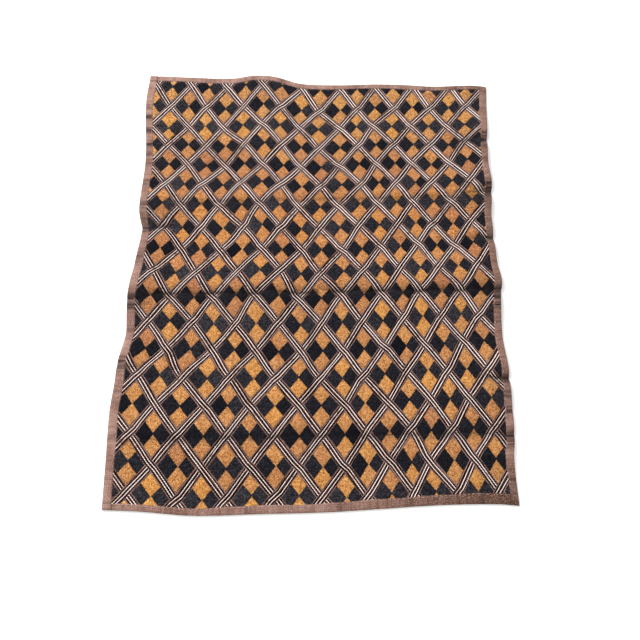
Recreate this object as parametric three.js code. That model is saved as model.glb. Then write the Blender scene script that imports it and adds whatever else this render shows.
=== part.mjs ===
// Raffia cloth with cut-pile embroidery, lying open and slightly rumpled.
// Millimetres, +Z up. X runs across the cloth, Y along it, and Z is up from the surface it lies on.
// The origin is the middle of its footprint, on that surface.

import * as THREE from 'three';

// Thicknesses, from the surface up
const fieldThickness = 1.8;     // woven ground with its embroidery
const hemThickness = 2.4;       // ground cloth turned over on itself
const cornerThickness = 3.0;    // where one hem is laid over the next
const hemWidth = 12;
const hemStep = 1.2;            // width of the slope from the hem down to the field
const edgeRoll = 0.8;           // how far the turned edge rounds over

// The mesh: cells across and along the field, between the hems
const columnCount = 32;
const rowCount = 42;

// The lifted folds rest on the surface wherever they are lower than this
const restingDepth = 0.35;

// A crease whose far end lies further out than this runs off the edge and doesn't fade there
const edgeReach = 265;

// Outline. "along" is the place on the edge and "out" its position on the other axis.
const leftEdge = [
  { along: -355, out: -277 }, { along: -300, out: -280 }, { along: -229, out: -284 },
  { along: -184, out: -281 }, { along: -162, out: -282 }, { along: -142, out: -278 },
  { along: -113, out: -275 }, { along: -51, out: -280 }, { along: 0, out: -275 },
  { along: 45, out: -270 }, { along: 95, out: -280 }, { along: 190, out: -282 },
  { along: 300, out: -294 }, { along: 362, out: -293 },
];
const rightEdge = [
  { along: -350, out: 263 }, { along: -288, out: 263 }, { along: -262, out: 267 },
  { along: -173, out: 270 }, { along: -120, out: 268 }, { along: -66, out: 271 },
  { along: -36, out: 276 }, { along: 0, out: 273 }, { along: 72, out: 273 },
  { along: 104, out: 276 }, { along: 135, out: 280 }, { along: 180, out: 279 },
  { along: 257, out: 286 }, { along: 336, out: 294 },
];
const topEdge = [
  { along: -293, out: 362 }, { along: -200, out: 357 }, { along: -145, out: 354 },
  { along: -108, out: 359 }, { along: -72, out: 357 }, { along: -28, out: 344 },
  { along: 40, out: 341 }, { along: 100, out: 343 }, { along: 160, out: 341 },
  { along: 208, out: 337 }, { along: 262, out: 340 }, { along: 283, out: 339 },
  { along: 294, out: 336 },
];
const bottomEdge = [
  { along: -277, out: -355 }, { along: -228, out: -357 }, { along: -158, out: -362 },
  { along: -72, out: -360 }, { along: 10, out: -358 }, { along: 80, out: -354 },
  { along: 164, out: -349 }, { along: 236, out: -348 }, { along: 263, out: -350 },
];

// Valley creases. Each runs from one end to the other, and the cloth lifts to "rise"
// at "shoulder" on both sides of it. "fade" is the length over which its ends die out.
const creases = [
  { name: 'upper storage fold', from: [-288, 102], to: [286, 116], rise: 2.2, shoulder: 16, fade: 40 },
  { name: 'middle storage fold', from: [-288, -55], to: [284, -46], rise: 4.2, shoulder: 18, fade: 50 },
  { name: 'lower storage fold', from: [-190, -266], to: [276, -256], rise: 2.6, shoulder: 16, fade: 70 },
  { name: 'lengthwise fold', from: [-6, -70], to: [-8, -240], rise: 1.2, shoulder: 11, fade: 45 },
  { name: 'left upper pucker', from: [-292, 56], to: [-184, 62], rise: 6.0, shoulder: 21, fade: 75 },
  { name: 'left middle pucker', from: [-292, -72], to: [-226, -68], rise: 4.6, shoulder: 17, fade: 50 },
  { name: 'left lower pucker', from: [-294, -162], to: [-232, -166], rise: 4.8, shoulder: 18, fade: 50 },
  { name: 'right top pucker', from: [298, 222], to: [222, 226], rise: 5.4, shoulder: 19, fade: 60 },
  { name: 'right upper pucker', from: [292, 122], to: [206, 126], rise: 6.4, shoulder: 20, fade: 70 },
  { name: 'right middle pucker', from: [286, 38], to: [208, 42], rise: 6.0, shoulder: 19, fade: 65 },
  { name: 'right fold pucker', from: [288, -50], to: [216, -50], rise: 6.2, shoulder: 19, fade: 60 },
  { name: 'right lower pucker', from: [282, -183], to: [212, -178], rise: 4.8, shoulder: 17, fade: 55 },
  { name: 'right corner pucker', from: [280, -262], to: [220, -258], rise: 3.8, shoulder: 15, fade: 50 },
];

// Rounded lifts of the edge: centre, half sizes and height
const swells = [
  { name: 'top edge wave', at: [-108, 366], half: [58, 52], rise: 4.2 },
  { name: 'top right wave', at: [222, 346], half: [40, 34], rise: 1.6 },
  { name: 'left shoulder', at: [-292, 20], half: [46, 34], rise: 2.6 },
  { name: 'right shoulder', at: [282, 178], half: [44, 30], rise: 2.4 },
];

const lerp = THREE.MathUtils.lerp;
const smooth = (value, low, high) => THREE.MathUtils.smoothstep(value, low, high);

// Smooth curve through an edge table: the value of "out" at a place along the edge
function edgeAt(table, along) {
  const last = table.length - 1;
  let i = 0;
  while (i < last - 1 && along > table[i + 1].along) i += 1;
  const a = table[i];
  const b = table[i + 1];
  const before = table[Math.max(i - 1, 0)];
  const after = table[Math.min(i + 2, last)];
  const span = b.along - a.along;
  const slopeA = (b.out - before.out) / (b.along - before.along);
  const slopeB = (after.out - a.out) / (after.along - a.along);
  const u = (along - a.along) / span;
  const u2 = u * u;
  const u3 = u2 * u;
  return (2 * u3 - 3 * u2 + 1) * a.out + (u3 - 2 * u2 + u) * span * slopeA
    + (3 * u2 - 2 * u3) * b.out + (u3 - u2) * span * slopeB;
}

// A point of an edge: s runs left to right and t bottom to top, both 0 to 1
function sidePoint(table, t) {
  const y = lerp(table[0].along, table[table.length - 1].along, t);
  return [edgeAt(table, y), y];
}

function crossPoint(table, s) {
  const x = lerp(table[0].along, table[table.length - 1].along, s);
  return [x, edgeAt(table, x)];
}

// Plan position of cloth point (s, t): a patch blended between the four edges
function planPoint(s, t) {
  const left = sidePoint(leftEdge, t);
  const right = sidePoint(rightEdge, t);
  const bottom = crossPoint(bottomEdge, s);
  const top = crossPoint(topEdge, s);
  const corner = (side, up) => (up ? crossPoint(topEdge, side) : crossPoint(bottomEdge, side));
  return [0, 1].map((axis) => lerp(left[axis], right[axis], s) + lerp(bottom[axis], top[axis], t)
    - lerp(
      lerp(corner(0, 0)[axis], corner(1, 0)[axis], s),
      lerp(corner(0, 1)[axis], corner(1, 1)[axis], s),
      t,
    ));
}

// Lift beside one valley crease: nothing on its line, most at the shoulder, then dying away
function creaseLift(crease, x, y) {
  const [ax, ay] = crease.from;
  const [bx, by] = crease.to;
  const length = Math.hypot(bx - ax, by - ay);
  const dx = (bx - ax) / length;
  const dy = (by - ay) / length;
  const along = (x - ax) * dx + (y - ay) * dy;
  const away = Math.abs((y - ay) * dx - (x - ax) * dy) / crease.shoulder;
  const fadeIn = smooth(along, -crease.fade, 0);
  const fadeOut = 1 - smooth(along, length - crease.fade, length);
  const atFarEdge = Math.abs(bx) > edgeReach ? 1 : fadeOut;
  return crease.rise * away * Math.exp(1 - away) * fadeIn * atFarEdge;
}

function swellLift(swell, x, y) {
  const u = (x - swell.at[0]) / swell.half[0];
  const v = (y - swell.at[1]) / swell.half[1];
  return swell.rise * Math.exp(-(u * u + v * v));
}

// Height of the cloth's underside: zero wherever it touches the surface
function undersideHeight(x, y) {
  const lifted = creases.reduce((sum, crease) => Math.max(sum, creaseLift(crease, x, y)), 0)
    + swells.reduce((sum, swell) => sum + swellLift(swell, x, y), 0);
  return Math.max(0, lifted - restingDepth);
}

// Thickness at a cloth point, from its distances to the nearest side and end
function thicknessAt(toSide, toEnd) {
  const side = 1 - smooth(toSide, hemWidth, hemWidth + hemStep);
  const end = 1 - smooth(toEnd, hemWidth, hemWidth + hemStep);
  const single = lerp(fieldThickness, hemThickness, Math.max(side, end));
  return lerp(single, cornerThickness, side * end);
}

// Grid lines across one direction, with extra lines where the hem steps down
function gridLines(length, count) {
  const inner = hemWidth + hemStep;
  const lines = [edgeRoll, hemWidth];
  for (let i = 0; i <= count; i += 1) lines.push(lerp(inner, length - inner, i / count));
  lines.push(length - hemWidth, length - edgeRoll);
  return lines;
}

function clothGeometry() {
  const width = topEdge[topEdge.length - 1].along - topEdge[0].along;
  const length = leftEdge[leftEdge.length - 1].along - leftEdge[0].along;
  const columns = gridLines(width, columnCount);
  const rows = gridLines(length, rowCount);
  const positions = [];
  const faces = [];
  const addPoint = (across, along, share) => {
    const [x, y] = planPoint(across / width, along / length);
    const toSide = Math.min(across, width - across);
    const toEnd = Math.min(along, length - along);
    positions.push(x, y, undersideHeight(x, y) + share * thicknessAt(toSide, toEnd));
    return positions.length / 3 - 1;
  };
  const sheet = (share) => rows.map((along) => columns.map((across) => addPoint(across, along, share)));
  const upper = sheet(1);
  const lower = sheet(0);
  for (let j = 0; j < rows.length - 1; j += 1) {
    for (let i = 0; i < columns.length - 1; i += 1) {
      const up = [upper[j][i], upper[j][i + 1], upper[j + 1][i + 1], upper[j + 1][i]];
      const low = [lower[j][i], lower[j][i + 1], lower[j + 1][i + 1], lower[j + 1][i]];
      faces.push(up[0], up[1], up[2], up[0], up[2], up[3]);
      faces.push(low[0], low[2], low[1], low[0], low[3], low[2]);
    }
  }
  // The border, counter-clockwise, and the ring of the rounded edge halfway up it
  const lastColumn = columns.length - 1;
  const lastRow = rows.length - 1;
  const border = [];
  for (let i = 0; i < lastColumn; i += 1) border.push([i, 0]);
  for (let j = 0; j < lastRow; j += 1) border.push([lastColumn, j]);
  for (let i = lastColumn; i > 0; i -= 1) border.push([i, lastRow]);
  for (let j = lastRow; j > 0; j -= 1) border.push([0, j]);
  const outward = (index, last, lines, full) => {
    if (index === 0) return 0;
    return index === last ? full : lines[index];
  };
  const ring = border.map(([i, j]) => addPoint(
    outward(i, lastColumn, columns, width),
    outward(j, lastRow, rows, length),
    0.5,
  ));
  border.forEach(([i, j], k) => {
    const next = (k + 1) % border.length;
    const [ni, nj] = border[next];
    faces.push(lower[j][i], lower[nj][ni], ring[next], lower[j][i], ring[next], ring[k]);
    faces.push(ring[k], ring[next], upper[nj][ni], ring[k], upper[nj][ni], upper[j][i]);
  });
  const geometry = new THREE.BufferGeometry();
  geometry.setAttribute('position', new THREE.Float32BufferAttribute(positions, 3));
  geometry.setIndex(faces);
  geometry.computeVertexNormals();
  return geometry;
}

const raffia = new THREE.MeshStandardMaterial({ color: '#8a6648', roughness: 0.85, metalness: 0 });
const cloth = new THREE.Mesh(clothGeometry(), raffia);
cloth.name = 'raffia_cloth';

const part = new THREE.Group();
part.add(cloth);

export default part;
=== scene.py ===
import math
import bpy
import bmesh
import numpy as np
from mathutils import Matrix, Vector


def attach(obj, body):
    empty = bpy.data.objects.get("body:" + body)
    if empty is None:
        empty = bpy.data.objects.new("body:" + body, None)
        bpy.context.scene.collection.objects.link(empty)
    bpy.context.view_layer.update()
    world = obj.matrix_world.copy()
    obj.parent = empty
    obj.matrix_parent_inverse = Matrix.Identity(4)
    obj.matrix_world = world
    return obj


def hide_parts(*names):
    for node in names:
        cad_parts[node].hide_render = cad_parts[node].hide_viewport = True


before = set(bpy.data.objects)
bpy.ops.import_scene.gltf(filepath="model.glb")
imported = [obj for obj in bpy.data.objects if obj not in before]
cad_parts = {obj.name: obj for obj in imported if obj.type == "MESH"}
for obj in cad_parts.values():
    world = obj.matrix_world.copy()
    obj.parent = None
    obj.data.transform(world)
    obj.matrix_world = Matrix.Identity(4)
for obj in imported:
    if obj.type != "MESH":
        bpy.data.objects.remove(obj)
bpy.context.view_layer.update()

mm = 0.001

# Sizes below are millimetres in the cloth's own frame: X across, Y along, Z up from the surface.
# The plan and the folds repeat those of the solid.
clothForm = {
    "groundTop": 0.9,      # bare woven raffia
    "hemTop": 2.4,         # turned over twice and sewn down
    "cornerTop": 3.0,      # one hem over the next
    "restingDepth": 0.35,  # folds lower than this lie flat
    "edgeReach": 265,      # a crease whose far end lies further out runs off the edge
    "cell": 3.3,           # spacing of the sheet's mesh, between two hems of this width together
    "bothHems": 26,
    "threadSpacing": 2.6,
    "surfaceWave": 0.12,   # slight unevenness of the ground, and of the hem where its stitches gather it
    "groundWaves": (9.3, 7.1),
    "hemWaves": (2.3, 3.7),
}

# The lattice, counted in half columns u from the middle and half rows v down from the far end
lattice = {
    "width": 570,        # of the cloth as cut
    "length": 712,
    "middle": 292.7,     # of the columns, from the left edge
    "halfCount": 8,      # half columns, and half rows, from the middle to an edge
    "halfSpan": 253,     # of those half columns
    "rows": [-1, 0, 4, 8, 12, 16],
    "rowsFromFar": [11.5, 56.5, 212, 366.5, 531.5, 694.5],
    "endPitch": (40, 38),    # of the rows beyond those, at the far and at the near end
    # how the counted grid drifts, as sizes of products of h across and w along, each -1 to 1
    "driftX": {"hh": -7.5, "w": 5.8, "hw": 5, "ww": 3.2, "hhw": -6},
    "driftY": {"h": 8.6, "hw": -5.8, "hww": -4.9, "hh": 2},
    "columnWave": (-1.7, 1.37, -0.52),   # size, length and crest of a slow wave in the column spacing
    "crossingShift": 1.6,    # how far the hand-counted crossings stray
    "centreShift": 1.0,
    "seed": 20,
}
# The plan's edges, as points with their distance along the edge first
leftEdge = [(-355, -277), (-300, -280), (-229, -284), (-184, -281), (-162, -282), (-142, -278),
            (-113, -275), (-51, -280), (0, -275), (45, -270), (95, -280), (190, -282), (300, -294),
            (362, -293)]
rightEdge = [(-350, 263), (-288, 263), (-262, 267), (-173, 270), (-120, 268), (-66, 271), (-36, 276),
             (0, 273), (72, 273), (104, 276), (135, 280), (180, 279), (257, 286), (336, 294)]
topEdge = [(-293, 362), (-200, 357), (-145, 354), (-108, 359), (-72, 357), (-28, 344), (40, 341),
           (100, 343), (160, 341), (208, 337), (262, 340), (283, 339), (294, 336)]
bottomEdge = [(-277, -355), (-228, -357), (-158, -362), (-72, -360), (10, -358), (80, -354),
              (164, -349), (236, -348), (263, -350)]


# Smooth curve through an edge table
def edgeAt(table, along):
    rows = np.array(table, float)
    i = np.clip(np.searchsorted(rows[:, 0], along, side="right") - 1, 0, len(rows) - 2)
    a, b = rows[i], rows[i + 1]
    before = rows[np.maximum(i - 1, 0)]
    after = rows[np.minimum(i + 2, len(rows) - 1)]
    span = b[..., 0] - a[..., 0]
    slopeA = (b[..., 1] - before[..., 1]) / (b[..., 0] - before[..., 0])
    slopeB = (after[..., 1] - a[..., 1]) / (after[..., 0] - a[..., 0])
    u = (along - a[..., 0]) / span
    return ((2 * u**3 - 3 * u**2 + 1) * a[..., 1] + (u**3 - 2 * u**2 + u) * span * slopeA
            + (3 * u**2 - 2 * u**3) * b[..., 1] + (u**3 - u**2) * span * slopeB)


# A point at a share of an edge's length: its place along the edge, then its place across
def edgePoint(table, share):
    along = table[0][0] + (table[-1][0] - table[0][0]) * share
    return np.stack([along, edgeAt(table, along)], -1)


# Plan position of cloth point (s, t), 0 to 1 from left to right and from near to far
def planPoint(s, t):
    s, t = np.broadcast_arrays(np.asarray(s, float), np.asarray(t, float))
    s1, t1 = s[..., None], t[..., None]
    left, right = (edgePoint(table, t)[..., ::-1] for table in (leftEdge, rightEdge))
    near, far = (edgePoint(table, 0.0) * (1 - s1) + edgePoint(table, 1.0) * s1
                 for table in (bottomEdge, topEdge))
    return (left * (1 - s1) + right * s1 + edgePoint(bottomEdge, s) * (1 - t1)
            + edgePoint(topEdge, s) * t1 - near * (1 - t1) - far * t1)


# A point of the cloth as cut, in millimetres from its near left corner, to its place in the plan
def toPlan(x, y):
    return planPoint(np.asarray(x, float) / lattice["width"], np.asarray(y, float) / lattice["length"])


def smooth(value, low, high):
    u = np.clip((value - low) / (high - low), 0, 1)
    return u * u * (3 - 2 * u)


# Valley creases: from, to, how high the cloth lifts beside them, how far out, and the length of the fade
creases = [
    ((-288, 102), (286, 116), 2.2, 16, 40),     # upper storage fold
    ((-288, -55), (284, -46), 4.2, 18, 50),     # middle storage fold
    ((-190, -266), (276, -256), 2.6, 16, 70),   # lower storage fold
    ((-6, -70), (-8, -240), 1.2, 11, 45),       # lengthwise fold
    ((-292, 56), (-184, 62), 6.0, 21, 75),      # puckers in from the left edge
    ((-292, -72), (-226, -68), 4.6, 17, 50),
    ((-294, -162), (-232, -166), 4.8, 18, 50),
    ((298, 222), (222, 226), 5.4, 19, 60),      # puckers in from the right edge
    ((292, 122), (206, 126), 6.4, 20, 70),
    ((286, 38), (208, 42), 6.0, 19, 65),
    ((288, -50), (216, -50), 6.2, 19, 60),
    ((282, -183), (212, -178), 4.8, 17, 55),
    ((280, -262), (220, -258), 3.8, 15, 50),
]
# Rounded lifts of the edge: centre, half sizes, height
swells = [
    ((-108, 366), (58, 52), 4.2),
    ((222, 346), (40, 34), 1.6),
    ((-292, 20), (46, 34), 2.6),
    ((282, 178), (44, 30), 2.4),
]


# Points beside one crease: place along it, distance off its line, and how strong it still is there
def besideCrease(start, end, fade, x, y):
    (ax, ay), (bx, by) = start, end
    length = math.hypot(bx - ax, by - ay)
    dx, dy = (bx - ax) / length, (by - ay) / length
    along = (x - ax) * dx + (y - ay) * dy
    off = (y - ay) * dx - (x - ax) * dy
    fadeOut = 1 if abs(bx) > clothForm["edgeReach"] else 1 - smooth(along, length - fade, length)
    return along, off, smooth(along, -fade, 0) * fadeOut


def bulge(centre, half, x, y):
    return np.exp(-(((x - centre[0]) / half[0]) ** 2 + ((y - centre[1]) / half[1]) ** 2))


def undersideHeight(x, y):
    lifted = np.zeros_like(x)
    for start, end, rise, shoulder, fade in creases:
        _, off, strength = besideCrease(start, end, fade, x, y)
        away = np.abs(off) / shoulder
        lifted = np.maximum(lifted, rise * away * np.exp(1 - away) * strength)
    for centre, half, rise in swells:
        lifted += rise * bulge(centre, half, x, y)
    return np.maximum(0, lifted - clothForm["restingDepth"])


# Darker places, painted shade in the dips beside the edge puckers and folds, with soil from handling: centre,
# half sizes, strength 0 to 1
stainsAndShade = [
    ((-268, 84), (52, 20), 0.42),
    ((-276, -64), (34, 22), 0.3),
    ((276, 106), (50, 20), 0.45),
    ((258, 127), (26, 12), 0.3),
    ((276, 36), (44, 15), 0.35),
    ((272, -46), (56, 24), 0.42),
    ((268, -210), (40, 40), 0.25),
    ((262, -330), (60, 34), 0.25),
    ((176, -262), (44, 5), 0.4),
    ((282, 312), (26, 24), 0.3),
    ((270, 222), (40, 16), 0.3),
]
# Painted shade, with some soil, that darkens the colour in the valley creases and along the hems' inner edges
shadeAndSoiling = {
    "line": 0.8,         # darkness along a crease, and how wide it is
    "lineWidth": 2.3,
    "haze": 0.3,         # soft painted shade and soil on both sides of it
    "hazeWidth": 10,
    "wander": 1.2,       # how far the dark line strays from the crease, and over what length
    "wanderLength": 13,
    "fullRise": 4.0,     # folds that lift this much or more are the darkest
    "strength": 0.72,
    "colour": "#181210",
    "seam": 0.7,         # painted shade and soil along the inner edge of the hems: its place and width as shares of the hem
    "seamPlace": 1.05,
    "seamWidth": 0.07,
}


# How dark a place is painted, 0 to 1, with shade and soil: most in the valley creases, some in the darker
# places, painted shade beside the puckers and soil where it was handled
def foldShadeAndSoil(x, y):
    deepest = np.zeros_like(x)
    for start, end, rise, _, fade in creases:
        along, off, strength = besideCrease(start, end, fade, x, y)
        off = off + shadeAndSoiling["wander"] * np.sin(along / shadeAndSoiling["wanderLength"])
        dark = (shadeAndSoiling["line"] * np.exp(-(off / shadeAndSoiling["lineWidth"]) ** 2)
                + shadeAndSoiling["haze"] * np.exp(-(off / shadeAndSoiling["hazeWidth"]) ** 2))
        deepest = np.maximum(deepest, min(rise / shadeAndSoiling["fullRise"], 1) * dark * strength)
    clear = 1 - np.clip(deepest, 0, 1)
    for centre, half, strength in stainsAndShade:
        clear = clear * (1 - strength * bulge(centre, half, x, y))
    return 1 - clear


hems = {
    # width at the low end and at the high end of each edge
    "left": (13.2, 12.6),
    "right": (11.4, 11.2),
    "bottom": (7.8, 14.4),
    "top": (11.2, 9.6),
    "wobble": 0.45,
    # from the outer edge in: share of the hem's width, and of its height
    "profile": [(0.03, 0.72), (0.12, 1.0), (0.35, 1.04), (0.6, 1.0), (0.85, 1.02), (0.95, 0.9), (1.0, 0.6),
                (1.04, 0.15), (1.12, 0.0)],
    # crosswise puckers: place along the edge and depth
    "leftPuckers": [(294, 0.5), (272, 1.0), (244, 1.1), (215, 1.2), (196, 0.6), (178, 0.4), (140, 0.7),
                    (97, 0.6), (72, 0.5), (52, 1.2), (7, 0.6), (-62, 1.0), (-75, 0.9), (-109, 0.5),
                    (-155, 0.9), (-168, 0.7), (-262, 0.4)],
    "rightPuckers": [(282, 0.4), (234, 1.2), (221, 1.4), (209, 0.9), (182, 0.4), (137, 1.0), (128, 1.4),
                     (119, 1.4), (70, 0.4), (52, 0.5), (40, 0.7), (-48, 0.8), (-60, 1.3), (-72, 1.1),
                     (-96, 0.5), (-183, 1.2), (-205, 0.7), (-226, 1.0), (-260, 1.0), (-271, 0.8),
                     (-318, 0.5)],
    "topPuckers": [(-190, 0.4), (-60, 0.5), (70, 0.4), (190, 0.5), (236, 0.5)],
    "bottomPuckers": [(-190, 0.3), (-90, 0.4), (30, 0.4), (120, 0.4), (215, 0.5)],
    "endOnTop": ("right", "bottom"),    # the one corner where the side hem runs in under the end hem
    "cornerStep": (0.96, 1.06),    # where the hem on top ends, and where the one under it runs in
    "cornerSlope": (0.9, 1.7),
    "puckerWidth": 2.6,
    "puckerSink": 0.85,    # of a pucker of depth 1
    "puckerLean": 2.0,     # how far one may lean over the width of the hem
    "shadeAndSoilWidth": 5.5,
    # how pale the cloth is, 0 to 1, at even steps from the low end of the edge to the high end
    "leftPale": (0.85, 0.9, 0.9, 0.7, 0.85, 0.9),
    "rightPale": (0.3, 0.8, 0.5, 0.5, 0.45, 0.6, 0.65),
    "bottomPale": (0.7, 0.68, 0.72, 0.62, 0.2, 0.0),
    "topPale": (0.8, 0.85, 0.8, 0.75, 0.55, 0.35),
    "fieldPale": 0.2,
    "stitch": {"Length": 3.2, "Width": 0.9, "Height": 0.7},
    "stitchInset": 1.6,
    "stitchPitch": 6.4,
    "stitchFirst": 16,     # from the corner
    "stitchStray": 0.25,
    "stitchTones": (0.1, 0.9),
    "stitchStretch": (0.75, 1.05),
}


# Width of a hem at a share of its edge's length, a little uneven as it was turned by hand
def hemWidth(side, share):
    low, high = hems[side]
    phase = len(side)
    uneven = np.sin(share * 23 + phase) + 0.6 * np.sin(share * 51 + 2 * phase)
    return low + (high - low) * share + hems["wobble"] * uneven


def hemBounds(x, y):
    s, t = x / lattice["width"], y / lattice["length"]
    return (hemWidth("left", t), lattice["width"] - hemWidth("right", t),
            hemWidth("bottom", s), lattice["length"] - hemWidth("top", s))


def readPoints(mesh):
    points = np.empty(len(mesh.vertices) * 3)
    mesh.vertices.foreach_get("co", points)
    return points.reshape(-1, 3)


# Lays a flat mesh, made in metres above z = 0, on the folds
def layOnFolds(mesh):
    points = readPoints(mesh)
    x, y = points[:, 0] / mm, points[:, 1] / mm
    points[:, 2] += undersideHeight(x, y) * mm
    mesh.vertices.foreach_set("co", points.ravel())
    mesh.update()
    # Painted shade and soil of the folds, read by the colour
    addAttribute(mesh, "fold", foldShadeAndSoil(x, y))


def newObject(name, mesh):
    piece = bpy.data.objects.new(name, mesh)
    bpy.context.scene.collection.objects.link(piece)
    return piece


def addAttribute(mesh, name, values):
    layer = mesh.attributes.new(name, "FLOAT", "POINT")
    layer.data.foreach_set("value", np.asarray(values, dtype=np.float32))


def srgb(hexColour):
    parts = [int(hexColour[i:i + 2], 16) / 255 for i in (1, 3, 5)]
    return tuple(c / 12.92 if c <= 0.04045 else ((c + 0.055) / 1.055) ** 2.4 for c in parts) + (1.0,)


# Adds a node with its settings and links. "stops" are the places and colours of a ramp.
def addNode(tree, kind, settings=None, inputs=None):
    node = tree.nodes.new(kind)
    for name, value in (settings or {}).items():
        if name == "stops":
            elements = node.color_ramp.elements
            while len(elements) < len(value):
                elements.new(0.5)
            for element, (place, colour) in zip(elements, value):
                element.position = place
                element.color = srgb(colour)
        else:
            setattr(node, name, value)
    for name, value in (inputs or {}).items():
        if isinstance(value, bpy.types.NodeSocket):
            tree.links.new(value, node.inputs[name])
        else:
            node.inputs[name].default_value = value
    return node


# Darkens a colour with painted shade and soil where the cloth lies in a fold
def shadeAndSoilFolds(tree, colour):
    fold = addNode(tree, "ShaderNodeAttribute", {"attribute_name": "fold"}).outputs["Fac"]
    amount = addNode(tree, "ShaderNodeMath", {"operation": "MULTIPLY"}, {0: fold, 1: shadeAndSoiling["strength"]})
    mix = addNode(tree, "ShaderNodeMix", {"data_type": "RGBA"},
                  {0: amount.outputs["Value"], 6: colour, 7: srgb(shadeAndSoiling["colour"])})
    return mix.outputs[2]


def startMaterial(name, roughness, sheen=0.0, gloss=0.1):
    material = bpy.data.materials.new(name)
    material.use_nodes = True
    shader = material.node_tree.nodes["Principled BSDF"]
    for label, value in (("Roughness", roughness), ("Sheen Weight", sheen), ("Sheen Roughness", 0.5),
                         ("Specular IOR Level", gloss)):
        shader.inputs[label].default_value = value
    return material


# Darkens a colour by one tint after another: what the tint follows, its ramp and its strength
def addTints(tree, colour, tints):
    for source, stops, strength in tints:
        tint = addNode(tree, "ShaderNodeValToRGB", {"stops": stops}, {"Fac": source})
        mixed = addNode(tree, "ShaderNodeMix", {"data_type": "RGBA", "blend_type": "MULTIPLY"},
                        {0: strength, 6: colour, 7: tint.outputs["Color"]})
        colour = mixed.outputs[2]
    return colour


# Gives a material its colour, with painted shade and soil in the folds, and its fine relief
def finishSurface(material, colour, relief, strength, depth):
    tree = material.node_tree
    shader = tree.nodes["Principled BSDF"]
    tree.links.new(shadeAndSoilFolds(tree, colour), shader.inputs["Base Color"])
    bump = addNode(tree, "ShaderNodeBump", inputs={"Height": relief, "Strength": strength, "Distance": depth})
    tree.links.new(bump.outputs["Normal"], shader.inputs["Normal"])


# Raffia fibre, dyed before stitching: matt, and each stitch has its own shade
def stitchedRaffia(name, stops):
    material = startMaterial(name, roughness=0.75, gloss=0.04)
    tree = material.node_tree
    place = addNode(tree, "ShaderNodeTexCoord").outputs["Object"]
    tone = addNode(tree, "ShaderNodeAttribute", {"attribute_name": "tone"}).outputs["Fac"]
    shade = addNode(tree, "ShaderNodeValToRGB", {"stops": stops}, {"Fac": tone}).outputs["Color"]
    fibre = addNode(tree, "ShaderNodeTexNoise", inputs={"Vector": place, "Scale": 1500, "Detail": 2})
    finishSurface(material, shade, fibre.outputs["Fac"], 0.3, 0.2 * mm)
    return material


# Cut pile: short upright tufts, so the colour breaks up from tuft to tuft. The dye took unevenly, so it
# differs from cell to cell ("dye", 0 to 1), which also carries painted shade on the rows in the
# folds, and it fades in wide bands along the cloth. Real tufts are finer than the render can show, so
# they are drawn about 1.6 mm wide, in clumps of 2.7 mm.
def cutPile(name, dyeAndShadeStops, speckStops, alongStops):
    material = startMaterial(name, roughness=0.9, sheen=0.03)
    tree = material.node_tree
    place = addNode(tree, "ShaderNodeTexCoord").outputs["Object"]
    dye, tone = (addNode(tree, "ShaderNodeAttribute", {"attribute_name": attribute}).outputs["Fac"]
                 for attribute in ("dye", "tone"))
    base = addNode(tree, "ShaderNodeValToRGB", {"stops": dyeAndShadeStops}, {"Fac": dye}).outputs["Color"]
    clump = addNode(tree, "ShaderNodeTexNoise", inputs={"Vector": place, "Scale": 1 / (2.7 * mm), "Detail": 3,
                                                        "Roughness": 0.8})
    stretched = addNode(tree, "ShaderNodeMapRange", inputs={"Value": clump.outputs["Fac"], "From Min": 0.26,
                                                            "From Max": 0.74})
    speckle = addNode(tree, "ShaderNodeMix", {"data_type": "FLOAT"},
                      {0: 0.35, 2: stretched.outputs["Result"], 3: tone})
    # Place between the cloth's two ends, 0 to 1, with wavy borders
    parts = addNode(tree, "ShaderNodeSeparateXYZ", inputs={"Vector": place})
    along = addNode(tree, "ShaderNodeMapRange", inputs={"Value": parts.outputs["Y"], "From Min": -0.36,
                                                        "From Max": 0.36})
    cloud = addNode(tree, "ShaderNodeTexNoise", inputs={"Vector": place, "Scale": 14, "Detail": 2})
    drift = addNode(tree, "ShaderNodeMath", {"operation": "MULTIPLY_ADD"},
                    {0: cloud.outputs["Fac"], 1: 0.24, 2: -0.12})
    moved = addNode(tree, "ShaderNodeMath", {"operation": "ADD"},
                    {0: along.outputs["Result"], 1: drift.outputs["Value"]})
    colour = addTints(tree, base, [(speckle.outputs[0], speckStops, 1.0),
                                   (moved.outputs["Value"], alongStops, 1.0)])
    fibre = addNode(tree, "ShaderNodeTexNoise", inputs={"Vector": place, "Scale": 1400, "Detail": 2})
    finishSurface(material, colour, fibre.outputs["Fac"], 0.4, 0.25 * mm)
    return material
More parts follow.
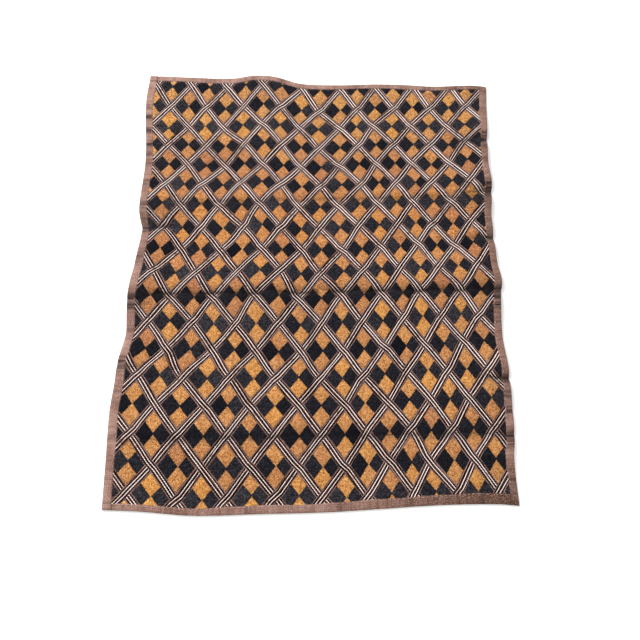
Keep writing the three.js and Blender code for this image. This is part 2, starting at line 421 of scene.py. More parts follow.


# Hand-woven raffia ground, plain weave, paler on some sides, with painted shade and soil in its puckers, its
# gathers and along the hems' inner edges.
# The real threads are about 1 mm apart, too fine to show, so they are drawn 2.6 mm apart.
def wovenRaffia(name):
    material = startMaterial(name, roughness=0.8, sheen=0.1)
    tree = material.node_tree
    place = addNode(tree, "ShaderNodeTexCoord").outputs["Object"]
    alongHem, washed, soil = (
        addNode(tree, "ShaderNodeAttribute", {"attribute_name": attribute}).outputs["Fac"]
        for attribute in ("alongHem", "washed", "soil"))
    sway, cloud, streak = (
        addNode(tree, "ShaderNodeTexNoise", inputs={"Vector": place, "Scale": scale, "Detail": detail})
        for scale, detail in ((60, 1), (38, 4), (760, 2)))
    bent = addNode(tree, "ShaderNodeMix", {"data_type": "VECTOR"},
                   {0: 0.004, 4: place, 5: sway.outputs["Color"]})
    threads = []
    # A wave texture repeats every 2 pi / 20 of one over its scale
    for direction in ("X", "Y"):
        wave = addNode(tree, "ShaderNodeTexWave", {"bands_direction": direction},
                       {"Vector": bent.outputs[1], "Distortion": 1.4, "Detail": 1, "Detail Scale": 3,
                        "Scale": 2 * math.pi / clothForm["threadSpacing"] / mm / 20})
        threads.append(wave.outputs["Fac"])
    weave = addNode(tree, "ShaderNodeMath", {"operation": "MULTIPLY"}, {0: threads[0], 1: threads[1]})
    # The hem's stitches gather it a little, so painted shade comes and goes along it, with a bump that
    # follows it
    gather = addNode(tree, "ShaderNodeTexNoise", {"noise_dimensions": "1D"},
                     {"W": alongHem, "Scale": 1 / (5.5 * mm), "Detail": 2, "Roughness": 0.6})
    dark = addNode(tree, "ShaderNodeValToRGB", {"stops": [(0.34, "#33241b"), (0.5, "#65483a"),
                                                          (0.66, "#957765")]}, {"Fac": streak.outputs["Fac"]})
    pale = addNode(tree, "ShaderNodeValToRGB", {"stops": [(0.3, "#927064"), (0.5, "#a6857a"),
                                                          (0.72, "#ba9b90")]}, {"Fac": cloud.outputs["Fac"]})
    body = addNode(tree, "ShaderNodeMix", {"data_type": "RGBA"},
                   {0: washed, 6: dark.outputs["Color"], 7: pale.outputs["Color"]})
    colour = addTints(tree, body.outputs[2],
                      [(weave.outputs["Value"], [(0.0, "#b9a79e"), (0.45, "#ffffff")], 0.45),
                       (streak.outputs["Fac"], [(0.3, "#b3a096"), (0.6, "#ffffff")], 0.8),
                       (gather.outputs["Fac"], [(0.3, "#a58e86"), (0.55, "#ffffff")], 0.4)])
    # Painted shade and soil in the hems' puckers and along their inner edges, darkest in furrows
    pleats = addNode(tree, "ShaderNodeTexNoise", {"noise_dimensions": "1D"},
                     {"W": alongHem, "Scale": 1 / (4.2 * mm), "Detail": 1})
    furrows = addNode(tree, "ShaderNodeMapRange", inputs={"Value": pleats.outputs["Fac"], "From Min": 0.4,
                                                          "From Max": 0.52, "To Min": 0.3})
    darkness = addNode(tree, "ShaderNodeMath", {"operation": "MULTIPLY"},
                       {0: soil, 1: furrows.outputs["Result"]})
    shadedAndSoiled = addNode(tree, "ShaderNodeMix", {"data_type": "RGBA"},
                     {0: darkness.outputs["Value"], 6: colour, 7: srgb("#1e0f0b")})
    height = addNode(tree, "ShaderNodeMath", {"operation": "MULTIPLY_ADD"},
                     {0: gather.outputs["Fac"], 1: 2.5, 2: weave.outputs["Value"]})
    finishSurface(material, shadedAndSoiled.outputs[2], height.outputs["Value"], 0.6, 0.3 * mm)
    return material


# Mesh lines over the sheet from edge to edge: close together across the hems, even over the field
def sheetLines(size, lowHem, highHem):
    shares = [share for share, _ in hems["profile"]]
    low, high = lowHem * shares[-1], highHem * shares[-1]
    count = int((size - clothForm["bothHems"]) / clothForm["cell"])
    return ([lowHem * share for share in shares]
            + [low + (size - low - high) * (i / count) for i in range(1, count)]
            + [size - highHem * share for share in reversed(shares)])


# Height of the top face, where inside gives the place in each hem as a share of its width
def hemHeights(inside, outer):
    shares, heights = np.array(hems["profile"]).T
    cover = {name: np.interp(place, shares, heights) for name, place in inside.items()}
    side, end = np.maximum(cover["left"], cover["right"]), np.maximum(cover["bottom"], cover["top"])
    rolled = np.minimum(np.where(side > 0, side, 9), np.where(end > 0, end, 9))
    either = np.maximum(side, end)
    either = np.where(outer < shares[1], np.minimum(rolled, either), either)
    ground, hemTop = clothForm["groundTop"], clothForm["hemTop"]
    topZ = ground + (hemTop - ground) * either
    # Doubled corners: the hem on top ends in a step, the one under it runs in on a slope
    for sideName in ("left", "right"):
        for endName in ("top", "bottom"):
            sharp, soft = inside[sideName], inside[endName]
            if (sideName, endName) == hems["endOnTop"]:
                sharp, soft = soft, sharp
            doubled = (1 - smooth(sharp, *hems["cornerStep"])) * (1 - smooth(soft, *hems["cornerSlope"]))
            topZ += (clothForm["cornerTop"] - hemTop) * (doubled * smooth(outer, 0.0, 0.15))
    return topZ


# Sinks the puckers into the hems. Gives their painted shade and soil, and that of the hems' inner edges.
def puckerHems(topZ, inside, plan):
    soil = np.zeros_like(topZ)
    for name, place in inside.items():
        axis = 1 if name in ("left", "right") else 0
        fade = 1 - smooth(place, 0.95, 1.15)
        for middle, depth in hems[name + "Puckers"]:
            lean = (place - 0.5) * hems["puckerLean"] * math.sin(middle)
            off = plan[..., axis] - middle - lean
            topZ -= hems["puckerSink"] * depth * (np.exp(-(off / hems["puckerWidth"]) ** 2) * fade)
            soil = np.maximum(soil, min(depth, 1.0) * (np.exp(-(off / hems["shadeAndSoilWidth"]) ** 2) * fade))
        beside = (place - shadeAndSoiling["seamPlace"]) / shadeAndSoiling["seamWidth"]
        soil = np.maximum(soil, shadeAndSoiling["seam"] * np.exp(-beside ** 2))
    return soil


# How pale the cloth is, as its nearest edge has it there
def palenessAtEdges(inside, nearSides, s, t):
    pales = {name: np.interp(share, np.linspace(0, 1, len(hems[name + "Pale"])), hems[name + "Pale"])
             for name, share in (("left", t), ("right", t), ("bottom", s), ("top", s))}
    sides = np.where(inside["left"] < inside["right"], pales["left"], pales["right"])
    ends = np.where(inside["bottom"] < inside["top"], pales["bottom"], pales["top"])
    return np.where(nearSides, sides, ends)


# Indices round the border of a grid
def rimOf(index):
    return np.concatenate([index[0, :-1], index[:-1, -1], index[-1, :0:-1], index[:0:-1, 0]])


# The woven sheet: one closed mesh with its hems turned over on all four sides
def groundCloth(material):
    width, length = lattice["width"], lattice["length"]
    s0, t0 = (np.linspace(0, 1, len(sheetLines(size, 1, 1))) for size in (width, length))
    gridX = np.stack([sheetLines(width, hemWidth("left", t), hemWidth("right", t)) for t in t0])
    gridY = np.stack([sheetLines(length, hemWidth("bottom", s), hemWidth("top", s)) for s in s0], 1)
    left, right, bottom, top = hemBounds(gridX, gridY)
    inside = {"left": gridX / left, "right": (width - gridX) / (width - right),
              "top": (length - gridY) / (length - top), "bottom": gridY / bottom}
    toSide, toEnd = np.minimum(inside["left"], inside["right"]), np.minimum(inside["bottom"], inside["top"])
    outer, nearSides = np.minimum(toSide, toEnd), toSide < toEnd
    plan = toPlan(gridX, gridY)
    topZ = hemHeights(inside, outer)
    soil = puckerHems(topZ, inside, plan)
    alongHem = np.where(nearSides, plan[..., 1], plan[..., 0]) * mm
    inField = smooth(outer, 1.0, 1.3)
    washed = palenessAtEdges(inside, nearSides, gridX / width, gridY / length) * (1 - inField)
    washed += hems["fieldPale"] * inField
    roll = smooth(outer, 0.0, 0.35)
    waveX, waveY = (np.sin(plan[..., k] / clothForm["groundWaves"][k]) for k in (0, 1))
    topZ += clothForm["surfaceWave"] * roll * waveX * waveY
    ripple = sum(np.sin(alongHem / mm / long + k) for k, long in enumerate(clothForm["hemWaves"]))
    topZ += clothForm["surfaceWave"] * ripple * roll * (1 - inField)

    # Top face, underside, and between them a rim that stands out to the size as cut
    index = np.arange(gridX.size).reshape(gridX.shape)
    edge = rimOf(index)
    gridX[:, 0], gridX[:, -1] = 0, width
    gridY[0, :], gridY[-1, :] = 0, length
    ring = toPlan(gridX.ravel()[edge], gridY.ravel()[edge])
    upper = np.column_stack([plan.reshape(-1, 2), topZ.ravel()])
    lower = np.column_stack([plan.reshape(-1, 2), np.zeros(index.size)])
    middle = np.column_stack([ring, 0.5 * topZ.ravel()[edge]])
    quads = np.stack([index[:-1, :-1], index[:-1, 1:], index[1:, 1:], index[1:, :-1]], -1).reshape(-1, 4)
    turned = quads[:, ::-1] + index.size
    following = np.roll(np.arange(len(edge)), -1)
    rim = np.arange(len(edge)) + 2 * index.size
    lowRim = np.stack([edge + index.size, edge[following] + index.size, rim[following], rim], -1)
    highRim = np.stack([rim, rim[following], edge[following], edge], -1)
    mesh = bpy.data.meshes.new("wovenGround")
    mesh.from_pydata((np.vstack([upper, lower, middle]) * mm).tolist(), [],
                     np.vstack([quads, turned, lowRim, highRim]).tolist())
    for name, values in (("soil", soil), ("washed", washed), ("alongHem", alongHem)):
        values = values.ravel()
        addAttribute(mesh, name, np.concatenate([values, values, values[edge]]))
    mesh.polygons.foreach_set("use_smooth", np.ones(len(mesh.polygons), bool))
    mesh.materials.append(material)
    layOnFolds(mesh)
    return newObject("wovenGround", mesh)


# Places of the crossings and cell middles in the cloth as cut
columnRange, rowRange = range(-11, 12), range(-4, 20)
strays = np.random.default_rng(lattice["seed"]).normal(0, 1, (len(columnRange), len(rowRange), 2))
strays = np.clip(strays, -2, 2)


def drift(terms, h, w):
    return sum(size * h ** term.count("h") * w ** term.count("w") for term, size in terms.items())


def latticePoint(u, v):
    h, w = u / lattice["halfCount"], v / lattice["halfCount"] - 1
    rows, places = lattice["rows"], lattice["rowsFromFar"]
    fromFar = np.interp(v, rows, places)
    farPitch, nearPitch = lattice["endPitch"]
    fromFar += min(v - rows[0], 0) * farPitch + max(v - rows[-1], 0) * nearPitch
    size, length, crest = lattice["columnWave"]
    wave = size * math.cos(2 * math.pi * (h - crest) / length)
    x = lattice["middle"] + lattice["halfSpan"] * h + drift(lattice["driftX"], h, w) + wave
    y = lattice["length"] - fromFar + drift(lattice["driftY"], h, w)
    stray = strays[u - columnRange[0], v - rowRange[0]]
    amount = lattice["crossingShift"] if (u + v) % 2 == 0 else lattice["centreShift"]
    return np.array([x, y]) + stray * amount


nodes = {(u, v): latticePoint(u, v) for u in columnRange for v in rowRange}


bands = {
    # seven lines side by side: colour and distance from the band's middle
    "lines": [("mauve", -5.5), ("black", -3.9), ("cream", -2.05), ("black", 0.0), ("cream", 2.05),
              ("black", 3.9), ("mauve", 5.5)],
    "lineWidth": {"mauve": 0.85, "black": 2.85, "cream": 1.03},
    "lineBase": {"mauve": 0.2, "black": 0.4, "cream": 0.5},    # height above the ground
    "half": 5.7,
    "stitchLength": 4.1,
    "stitchPitch": 3.4,
    "stitchHeight": 1.15,
    "stitchTaper": (-0.34, -0.42, 0),    # how far the top of a stitch draws in, as a share
    "slant": 5,          # degrees that a stem stitch leans out of its line
    "bend": 0.35,        # how far a line bows between two crossings
    "underHem": 1.5,     # how far a line runs in under a hem
    # how the shade differs from stretch to stretch, from line to line and from stitch to stitch
    "stretchTones": (-0.18, 0.16),
    "lineTones": (-0.1, 0.1),
    "stitchTones": 0.17,
    # where a band passes over another it jogs, mostly flatter: mean, spread and limits in degrees
    "jogAngle": 5.5,
    "jogSpread": 3.0,
    "jogLimits": (-3, 12),
    "jogReach": (6.0, 9.5),
}


def unit(vector):
    return vector / np.hypot(*vector)


def aside(vector):
    return np.array([-vector[1], vector[0]])


# In even rows the rising band passes over, in odd rows the falling one. Gives the over band's
# direction at each crossing, and how far the jog reaches along it.
def overPasses():
    draw = np.random.default_rng(lattice["seed"] + 4)
    passes = {}
    for u, v in nodes:
        step = -1 if v % 2 == 0 else 1
        angle = np.clip(draw.normal(bands["jogAngle"], bands["jogSpread"]), *bands["jogLimits"])
        angle = math.radians(angle) * step
        reach = draw.uniform(*bands["jogReach"])
        before, after = nodes.get((u - 1, v - step)), nodes.get((u + 1, v + step))
        if (u + v) % 2 or before is None or after is None:
            continue
        x, y = unit(after - before)
        cos, sin = math.cos(angle), math.sin(angle)
        turned = np.array([x * cos - y * sin, x * sin + y * cos])
        passes[(u, v)] = (turned, reach)
    return passes


# Way of one line of a band over a stretch between two crossings. It runs on to the crossing where its
# band passes over, and ends beside the other band where it passes under.
def lineRoute(ends, knees, over, directions, offset):
    line = unit(knees[1] - knees[0])
    normal = aside(line)
    route = []
    for k, way in enumerate((1, -1)):
        across = aside(directions[k])
        if over[k]:
            mitre = (normal + across) / (1 + normal @ across)
            route += [nodes[ends[k]] + across * offset, knees[k] + mitre * offset][::way]
        else:
            heading = line * way
            toward, sideways = heading @ across, normal @ across
            clear = bands["half"] - math.copysign(1, toward) * offset * sideways
            route.append(knees[k] + heading * (clear / max(abs(toward), 0.3)) + normal * offset)
    return route, normal


# Stitches along a route, one after another: place, direction, tone and stretch
def stitchesAlong(route, normal, lineTone, bend, draw):
    lengths = [np.hypot(*(b - a)) for a, b in zip(route, route[1:])]
    total = sum(lengths)
    count = max(1, round(total / bands["stitchPitch"]))
    for i in range(count):
        share = (i + 0.5) / count
        place, leg = share * total, 0
        while leg < len(lengths) - 1 and place > lengths[leg]:
            place -= lengths[leg]
            leg += 1
        way = unit(route[leg + 1] - route[leg])
        centre = route[leg] + way * place + normal * bend * math.sin(math.pi * share)
        tone = 0.5 + lineTone + draw.normal(0, bands["stitchTones"])
        yield (*centre, *way, tone, total / count / bands["stitchPitch"])


# Stitches that lie on the field, or just in under a hem
def onField(rows):
    left, right, bottom, top = hemBounds(rows[:, 0], rows[:, 1])
    reach = bands["underHem"]
    return rows[(rows[:, 0] > left - reach) & (rows[:, 0] < right + reach)
                & (rows[:, 1] > bottom - reach) & (rows[:, 1] < top + reach)]


# Every stitch of every band: along each stretch between crossings, seven lines side by side
def bandStitches():
    found = {"mauve": [], "black": [], "cream": []}
    draw = np.random.default_rng(lattice["seed"] + 1)
    passes = overPasses()
    for u, v in passes:
        for step in (-1, 1):              # -1 rises to the right, 1 falls
            ends = ((u, v), (u + 1, v + step))
            if ends[1] not in passes:
                continue
            over = [(row % 2 == 0) == (step == -1) for _, row in ends]
            directions, reaches = zip(*(passes[crossing] for crossing in ends))
            knees = [nodes[crossing] for crossing in ends]
            for k, way in enumerate((1, -1)):
                if over[k]:
                    knees[k] = knees[k] + directions[k] * reaches[k] * way
            stretchTone = draw.uniform(*bands["stretchTones"])
            for colour, offset in bands["lines"]:
                route, normal = lineRoute(ends, knees, over, directions, offset)
                bend = draw.normal(0, bands["bend"])
                lineTone = stretchTone + draw.uniform(*bands["lineTones"])
                found[colour] += stitchesAlong(route, normal, lineTone, bend, draw)
    return {colour: onField(np.array(rows)) for colour, rows in found.items()}


def hemStitches():
    width, length = lattice["width"], lattice["length"]
    draw = np.random.default_rng(lattice["seed"] + 2)
    found = []
    inset, pitch, first = hems["stitchInset"], hems["stitchPitch"], hems["stitchFirst"]
    for t in np.arange(first, length - first, pitch) / length:
        found.append((hemWidth("left", t) - inset, t * length, 0, 1))
        found.append((width - hemWidth("right", t) + inset, t * length, 0, 1))
    for s in np.arange(first, width - first, pitch) / width:
        found.append((s * width, hemWidth("bottom", s) - inset, 1, 0))
        found.append((s * width, length - hemWidth("top", s) + inset, 1, 0))
    rows = np.array(found)
    rows[:, :2] += draw.normal(0, hems["stitchStray"], (len(rows), 2))
    tones = draw.uniform(*hems["stitchTones"], len(rows))
    return np.column_stack([rows, tones, draw.uniform(*hems["stitchStretch"], len(rows))])


# Sets a part on every point, turned and scaled
def setOnPoints(tree, points, part, angles, scale):
    rotation = addNode(tree, "FunctionNodeEulerToRotation", inputs={"Euler": angles})
    placed = addNode(tree, "GeometryNodeInstanceOnPoints", inputs={
        "Points": points, "Instance": part, "Rotation": rotation.outputs["Rotation"], "Scale": scale})
    return placed.outputs["Instances"]


# One plump stitch on each point, turned by the point's "turn": a block whose top is narrower than its foot
def addStitches(tree, given):
    size = addNode(tree, "ShaderNodeCombineXYZ", inputs={"X": given["Length"], "Y": given["Width"],
                                                         "Z": given["Height"]})
    block = addNode(tree, "GeometryNodeMeshCube", inputs={"Size": size.outputs["Vector"]})
    where = addNode(tree, "GeometryNodeInputPosition").outputs["Position"]
    parts = addNode(tree, "ShaderNodeSeparateXYZ", inputs={"Vector": where})
    above = addNode(tree, "FunctionNodeCompare", {"data_type": "FLOAT", "operation": "GREATER_THAN"},
                    {0: parts.outputs["Z"], 1: 0.0})
    taper = addNode(tree, "ShaderNodeVectorMath", {"operation": "MULTIPLY"},
                    {0: where, 1: bands["stitchTaper"]})
    grain = addNode(tree, "GeometryNodeSetPosition", inputs={
        "Geometry": block.outputs["Mesh"], "Selection": above.outputs["Result"],
        "Offset": taper.outputs["Vector"]})
    turn, stretch = (
        addNode(tree, "GeometryNodeInputNamedAttribute", {"data_type": "FLOAT"}, {"Name": attribute})
        for attribute in ("turn", "stretch"))
    angles = addNode(tree, "ShaderNodeCombineXYZ", inputs={"Z": turn.outputs["Attribute"]})
    scale = addNode(tree, "ShaderNodeCombineXYZ",
                    inputs={"X": stretch.outputs["Attribute"], "Y": 1.0, "Z": 1.0})
    placed = setOnPoints(tree, given["Geometry"], grain.outputs["Geometry"], angles.outputs["Vector"],
                         scale.outputs["Vector"])
    real = addNode(tree, "GeometryNodeRealizeInstances", inputs={"Geometry": placed})
    return real.outputs["Geometry"]


# Builds a Geometry Nodes tree, whose named inputs are the sizes in metres and the seed, runs it on a mesh
# and keeps the result as a plain mesh
def grow(name, mesh, addParts, sizes, material):
    tree = bpy.data.node_groups.new(name + "Tree", "GeometryNodeTree")
    for way in ("INPUT", "OUTPUT"):
        tree.interface.new_socket("Geometry", in_out=way, socket_type="NodeSocketGeometry")
    for label, value in sizes.items():
        kind = "NodeSocketInt" if isinstance(value, int) else "NodeSocketFloat"
        tree.interface.new_socket(label, in_out="INPUT", socket_type=kind)
    grown = addParts(tree, addNode(tree, "NodeGroupInput").outputs)
    finished = addNode(tree, "GeometryNodeSetMaterial", inputs={"Geometry": grown, "Material": material})
    addNode(tree, "NodeGroupOutput", inputs={"Geometry": finished.outputs["Geometry"]})
    carrier = newObject(name + "Carrier", mesh)
    modifier = carrier.modifiers.new("grow", "NODES")
    modifier.node_group = tree
    for item in tree.interface.items_tree:
        if item.in_out == "INPUT" and item.name in sizes:
            modifier[item.identifier] = sizes[item.name]
    bpy.context.view_layer.update()
    graph = bpy.context.evaluated_depsgraph_get()
    made = bpy.data.meshes.new_from_object(carrier.evaluated_get(graph))
    made.name = name
    bpy.data.objects.remove(carrier)
    layOnFolds(made)
    return newObject(name, made)


def stitchPiece(name, rows, material, base, sizes, slant=0):
    here = toPlan(rows[:, 0], rows[:, 1])
    tip = toPlan(rows[:, 0] + rows[:, 2], rows[:, 1] + rows[:, 3])
    turn = np.arctan2(tip[:, 1] - here[:, 1], tip[:, 0] - here[:, 0]) + math.radians(slant)
    mesh = bpy.data.meshes.new(name + "Points")
    mesh.from_pydata((np.column_stack([here, np.full(len(here), base)]) * mm).tolist(), [], [])
    for attribute, values in (("turn", turn), ("tone", rows[:, 4]), ("stretch", rows[:, 5])):
        addAttribute(mesh, attribute, values)
    sizes = {side: size * mm for side, size in sizes.items()}
    piece = grow(name, mesh, addStitches, sizes, material)
    piece.data.polygons.foreach_set("use_smooth", np.ones(len(piece.data.polygons), bool))
    return piece


pile = {
    "bandShare": 0.26,   # of a half cell, taken by the band beside it
    "neck": 0.028,        # how far the black corners reach through the middle of a cell
    "height": 0.85,
    "edgeHeight": 0.45,   # of the pad's edge, as a share of that
    "sunk": 0.3,          # how far the pad's foot reaches into the ground
    "cells": 5,
    "stray": 0.16,        # how uneven a pad's outline is
    "underHem": 0.6,
    # how far the middle of a cell lies off, as a share of half a cell: mean and spread for a row, then
    # the spread across and along for a cell
    "rowShift": (0.045, 0.035),
    "cellShift": (0.025, 0.03),
    "joinedCells": 0.82,  # share of the cells whose black corners meet
    "tuftSpacing": 1.85,
    "tuftWidth": 1.56,
    "tuftHeight": 1.3,
    "tuftTip": 0.34,      # radius of a tuft's cut end, as a share of its width
    "tuftLean": 0.3,      # in radians, either way
    "tuftGrowth": ((0.8, 0.8, 0.75), (1.2, 1.2, 1.15)),    # smallest and largest, as shares of the sizes
    "densest": 1.2e6,     # tufts to a square metre, more than the spacing lets through
    "firstSeed": 3,
    "padTone": 0.22,      # of the pad between the tufts
    # the dye's strength differs from row to row and from cell to cell, 0 dark to 1 pale; rows 9 and 14, in
    # the middle and lower folds, are darker with painted shade, and rows 8 and 10 beside the middle fold are
    # paler
    "rowTone": {8: 0.66, 9: 0.18, 10: 0.68, 14: 0.36},
    "middleTone": 0.5,
    "rowSpread": 0.1,
    "cellSpread": 0.17,
}


# Cut tufts scattered close together over the tops of the pile's pads, each a little askew
def addTufts(tree, given):
    facing = addNode(tree, "GeometryNodeInputNormal").outputs["Normal"]
    parts = addNode(tree, "ShaderNodeSeparateXYZ", inputs={"Vector": facing})
    tops = addNode(tree, "FunctionNodeCompare", {"data_type": "FLOAT", "operation": "GREATER_THAN"},
                   {0: parts.outputs["Z"], 1: 0.6})
    spread = addNode(tree, "GeometryNodeDistributePointsOnFaces", {"distribute_method": "POISSON"}, {
        "Mesh": given["Geometry"], "Selection": tops.outputs["Result"], "Distance Min": given["Spacing"],
        "Density Max": pile["densest"], "Seed": given["Seed"]})
    radius = addNode(tree, "ShaderNodeMath", {"operation": "MULTIPLY"}, {0: given["Width"], 1: 0.5})
    tip = addNode(tree, "ShaderNodeMath", {"operation": "MULTIPLY"}, {0: given["Width"], 1: pile["tuftTip"]})
    tuft = addNode(tree, "GeometryNodeMeshCone", {"fill_type": "TRIANGLE_FAN"}, {
        "Vertices": 3, "Radius Top": tip.outputs["Value"], "Radius Bottom": radius.outputs["Value"],
        "Depth": given["Height"]})
    lean, (least, most) = pile["tuftLean"], pile["tuftGrowth"]
    tilt = addNode(tree, "FunctionNodeRandomValue", {"data_type": "FLOAT_VECTOR"},
                   {"Min": (-lean, -lean, 0.0), "Max": (lean, lean, 6.28), "Seed": 11})
    growth = addNode(tree, "FunctionNodeRandomValue", {"data_type": "FLOAT_VECTOR"},
                     {"Min": least, "Max": most, "Seed": 12})
    placed = setOnPoints(tree, spread.outputs["Points"], tuft.outputs["Mesh"], tilt.outputs["Value"],
                         growth.outputs["Value"])
    chance = addNode(tree, "FunctionNodeRandomValue", {"data_type": "FLOAT"}, {2: 0.0, 3: 1.0, "Seed": 13})
    toned = addNode(tree, "GeometryNodeStoreNamedAttribute", {"data_type": "FLOAT", "domain": "INSTANCE"}, {
        "Geometry": placed, "Name": "tone", "Value": chance.outputs[1]})
    real = addNode(tree, "GeometryNodeRealizeInstances", inputs={"Geometry": toned.outputs["Geometry"]})
    both = addNode(tree, "GeometryNodeJoinGeometry")
    tree.links.new(given["Geometry"], both.inputs["Geometry"])
    tree.links.new(real.outputs["Geometry"], both.inputs["Geometry"])
    return both.outputs["Geometry"]


# One pad of pile: a low closed cushion over four corner shares of its cell, cut off at the hems
def padMesh(corners, low, high, draw):
    count = pile["cells"] + 1
    p, q = np.meshgrid(*(np.linspace(low[k], high[k], count) for k in (0, 1)), indexing="ij")
    weights = [(1 - p) * (1 + q) / 4, (1 + p) * (1 + q) / 4, (1 + p) * (1 - q) / 4, (1 - p) * (1 - q) / 4]
    flat = sum(w[..., None] * c for w, c in zip(weights, corners))
    flat = flat + draw.normal(0, pile["stray"], flat.shape)
    edge = np.ones((count, count), bool)
    edge[1:-1, 1:-1] = False
    base = clothForm["groundTop"]
    tops = base + np.where(edge, pile["edgeHeight"], 1.0) * pile["height"]
    shape = bmesh.new()
    upper = [[shape.verts.new((*flat[i, j], tops[i, j])) for j in range(count)] for i in range(count)]
    for i in range(count - 1):
        for j in range(count - 1):
            shape.faces.new((upper[i][j], upper[i + 1][j], upper[i + 1][j + 1], upper[i][j + 1]))
    around = [divmod(place, count) for place in rimOf(np.arange(count * count).reshape(count, count).T)]
    foot = [shape.verts.new((*flat[i, j], base - pile["sunk"])) for i, j in around]
    for k, (i, j) in enumerate(around):
        after = (k + 1) % len(around)
        nextI, nextJ = around[after]
        shape.faces.new((foot[k], foot[after], upper[nextI][nextJ], upper[i][j]))
    shape.faces.new(foot[::-1])
    bmesh.ops.recalc_face_normals(shape, faces=shape.faces)
    left, right, bottom, top = hemBounds(*flat.mean((0, 1)))
    reach = pile["underHem"]
    for axis, limit, outward in ((0, left - reach, -1), (0, right + reach, 1),
                                 (1, bottom - reach, -1), (1, top + reach, 1)):
        outside = flat[..., axis] * outward > limit * outward
        if outside.all():
            shape.free()
            return None
        if not outside.any():
            continue
        point, normal = [0, 0, 0], [0, 0, 0]
        point[axis], normal[axis] = limit, outward
        cut = bmesh.ops.bisect_plane(shape, geom=shape.verts[:] + shape.edges[:] + shape.faces[:], dist=0.01,
                                     plane_co=point, plane_no=normal, clear_outer=True)
        rim = [e for e in cut["geom_cut"] if isinstance(e, bmesh.types.BMEdge)]
        bmesh.ops.holes_fill(shape, edges=rim)
    if not shape.faces:
        shape.free()
        return None
    return shape


def pilePieces():
    draw = np.random.default_rng(lattice["seed"] + 3)
    limit = 1 - pile["bandShare"]
    groups = {(colour, end): bmesh.new() for colour in ("black", "gold") for end in ("Far", "Near")}
    rowSway = {v: draw.normal(*pile["rowShift"]) for v in rowRange}
    rowTone = {v: pile["rowTone"].get(v, pile["middleTone"] + draw.normal(0, pile["rowSpread"]))
               for v in rowRange}
    dyesAndShade = {key: [] for key in groups}
    for u, v in nodes:
        if (u + v) % 2 == 0 or u not in columnRange[1:-1] or v not in rowRange[2:-1]:
            continue
        corners = [nodes[(u, v - 1)], nodes[(u + 1, v)], nodes[(u, v + 1)], nodes[(u - 1, v)]]
        sideways, down = draw.normal((rowSway[v], 0), pile["cellShift"])
        neck = pile["neck"] * (1 if draw.random() < pile["joinedCells"] else -0.5)
        p, q, end = sideways + down, sideways - down, "Far" if v < lattice["halfCount"] else "Near"
        shares = [
            ("black", (-limit, -limit), (p + neck, q + neck)),
            ("black", (p - neck, q - neck), (limit, limit)),
            ("gold", (-limit, q + neck), (p - neck, limit)),
            ("gold", (p + neck, -limit), (limit, q - neck)),
        ]
        for colour, low, high in shares:
            pad = padMesh(corners, low, high, draw)
            if pad is None:
                continue
            part = bpy.data.meshes.new("pad")
            pad.to_mesh(part)
            pad.free()
            groups[(colour, end)].from_mesh(part)
            # The cell's dye, with painted shade on the rows that lie in the folds
            dye = np.clip(rowTone[v] + draw.normal(0, pile["cellSpread"]), 0, 1)
            dyesAndShade[(colour, end)] += [dye] * len(part.vertices)
            bpy.data.meshes.remove(part)
    made = []
    for (colour, end), shape in groups.items():
        mesh = bpy.data.meshes.new(colour + "Pads" + end)
        shape.to_mesh(mesh)
        shape.free()
        points = readPoints(mesh)
        points[:, :2] = toPlan(points[:, 0], points[:, 1])
        mesh.vertices.foreach_set("co", (points * mm).ravel())
        mesh.update()
        addAttribute(mesh, "tone", np.full(len(points), pile["padTone"]))
        addAttribute(mesh, "dye", dyesAndShade[(colour, end)])
        sizes = {side: pile["tuft" + side] * mm for side in ("Spacing", "Width", "Height")}
        sizes["Seed"] = pile["firstSeed"] + len(made)
        made.append(grow(colour + "Pile" + end, mesh, addTufts, sizes, materials[colour + "Pile"]))
    return made


materials = {
    "ground": wovenRaffia("handWovenRaffia"),
    "cream": stitchedRaffia("undyedRaffiaStitch", [(0.0, "#b3978c"), (0.28, "#efd4ca"), (0.56, "#ffeee7")]),
    "black": stitchedRaffia("blackRaffiaStitch", [(0.0, "#0c0606"), (0.5, "#241410"), (0.95, "#483029")]),
    "mauve": stitchedRaffia("mauveRaffiaStitch", [(0.0, "#7b5c56"), (0.5, "#a1827b"), (0.9, "#b89c96")]),
    "blackPile": cutPile("blackCutPile", [(0.0, "#1c202e"), (0.5, "#3f414f"), (1.0, "#676770")],
                         [(0.15, "#2a272b"), (0.42, "#888586"), (0.6, "#ebe1d9"), (0.8, "#fff4ec")],
                         [(0.0, "#e2e0df"), (1.0, "#e2e0df")]),
    "goldPile": cutPile("goldCutPile", [(0.0, "#deb28e"), (0.5, "#f1c994"), (1.0, "#fcd28a")],
                        [(0.14, "#845e3e"), (0.36, "#d8ba9b"), (0.6, "#fff9f4")],
                        [(0.0, "#dfd6c8"), (0.4, "#dfd6cb"), (0.62, "#d9c9c4"), (0.85, "#dbd5ca"),
                         (1.0, "#dad6cd")]),
}
print("materials made")

ground = groundCloth(materials["ground"])
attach(ground, "root")
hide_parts("raffia_cloth")
print("woven ground made", len(ground.data.polygons))

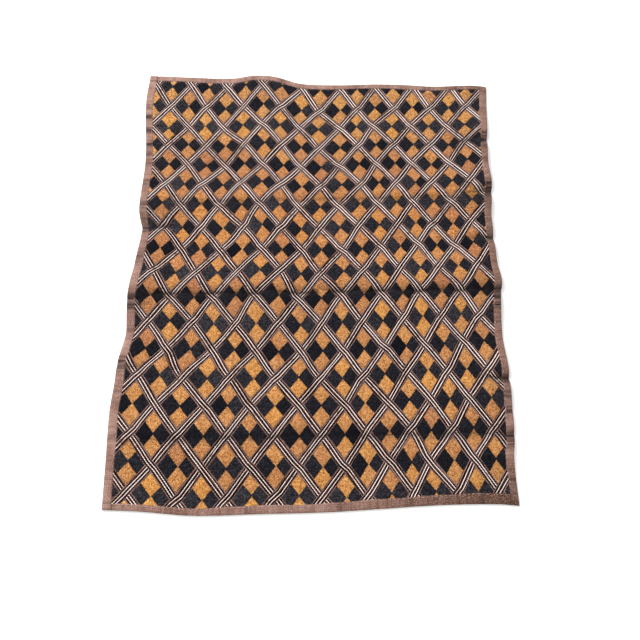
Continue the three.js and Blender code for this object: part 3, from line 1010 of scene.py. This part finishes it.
embroidery = []
for colour, rows in bandStitches().items():
    sizes = {"Length": bands["stitchLength"], "Width": bands["lineWidth"][colour],
             "Height": bands["stitchHeight"]}
    base = clothForm["groundTop"] + bands["lineBase"][colour]
    embroidery.append(stitchPiece(colour + "Lines", rows, materials[colour], base, sizes, bands["slant"]))
    print(colour, "lines made", len(embroidery[-1].data.polygons))
embroidery.append(stitchPiece("hemStitches", hemStitches(), materials["mauve"], clothForm["hemTop"],
                              hems["stitch"]))
embroidery += pilePieces()
for piece in embroidery:
    piece.data.calc_loop_triangles()
    print(piece.name, "triangles", len(piece.data.loop_triangles))
    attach(piece, "root")
print("embroidery made")

# The surface it lies on, the light and the camera
studio = {
    "floor": "#fcfcfb",
    "floorSize": 8,
    "world": 0.98,
    "keyPower": 108,
    "keyPlace": (-1.5, 1.7, 1.45),
    "keySize": 1.3,
    "aim": (4.9, -93.8, 0),
    "distance": 767.5,
    "elevation": 70,
    "focalPixels": 525,    # focal length in an image of the width below
    "imagePixels": 640,
    "sensorWidth": 36,
}


def setStage():
    # a little below the cloth, so that the two don't share a plane
    bpy.ops.mesh.primitive_plane_add(size=studio["floorSize"], location=(0, 0, -0.4 * mm))
    floor = bpy.context.object
    floor.name = "floor"
    paper = startMaterial("paleStudioFloor", roughness=0.9)
    shader = paper.node_tree.nodes["Principled BSDF"]
    shader.inputs["Base Color"].default_value = srgb(studio["floor"])
    floor.data.materials.append(paper)
    world = bpy.data.worlds.new("softStudio")
    bpy.context.scene.world = world
    world.use_nodes = True
    background = world.node_tree.nodes["Background"]
    background.inputs["Color"].default_value = (1, 1, 1, 1)
    background.inputs["Strength"].default_value = studio["world"]
    lamp = bpy.data.lights.new("key", "AREA")
    lamp.size = studio["keySize"]
    lamp.energy = studio["keyPower"]
    key = bpy.data.objects.new("key", lamp)
    key.location = studio["keyPlace"]
    key.rotation_euler = (-Vector(studio["keyPlace"])).to_track_quat("-Z", "Y").to_euler()
    bpy.context.scene.collection.objects.link(key)


def setCamera():
    data = bpy.data.cameras.new("camera")
    data.sensor_fit = "HORIZONTAL"
    data.sensor_width = studio["sensorWidth"]
    data.lens = studio["sensorWidth"] * studio["focalPixels"] / studio["imagePixels"]
    camera = bpy.data.objects.new("camera", data)
    angle = math.radians(studio["elevation"])
    forward = Vector((0, math.cos(angle), -math.sin(angle)))
    camera.location = (Vector(studio["aim"]) - forward * studio["distance"]) * mm
    camera.rotation_euler = (math.pi / 2 - angle, 0, 0)
    bpy.context.scene.collection.objects.link(camera)
    bpy.context.scene.camera = camera


setStage()
setCamera()
bpy.context.scene.view_settings.view_transform = "Standard"
print("stage set")
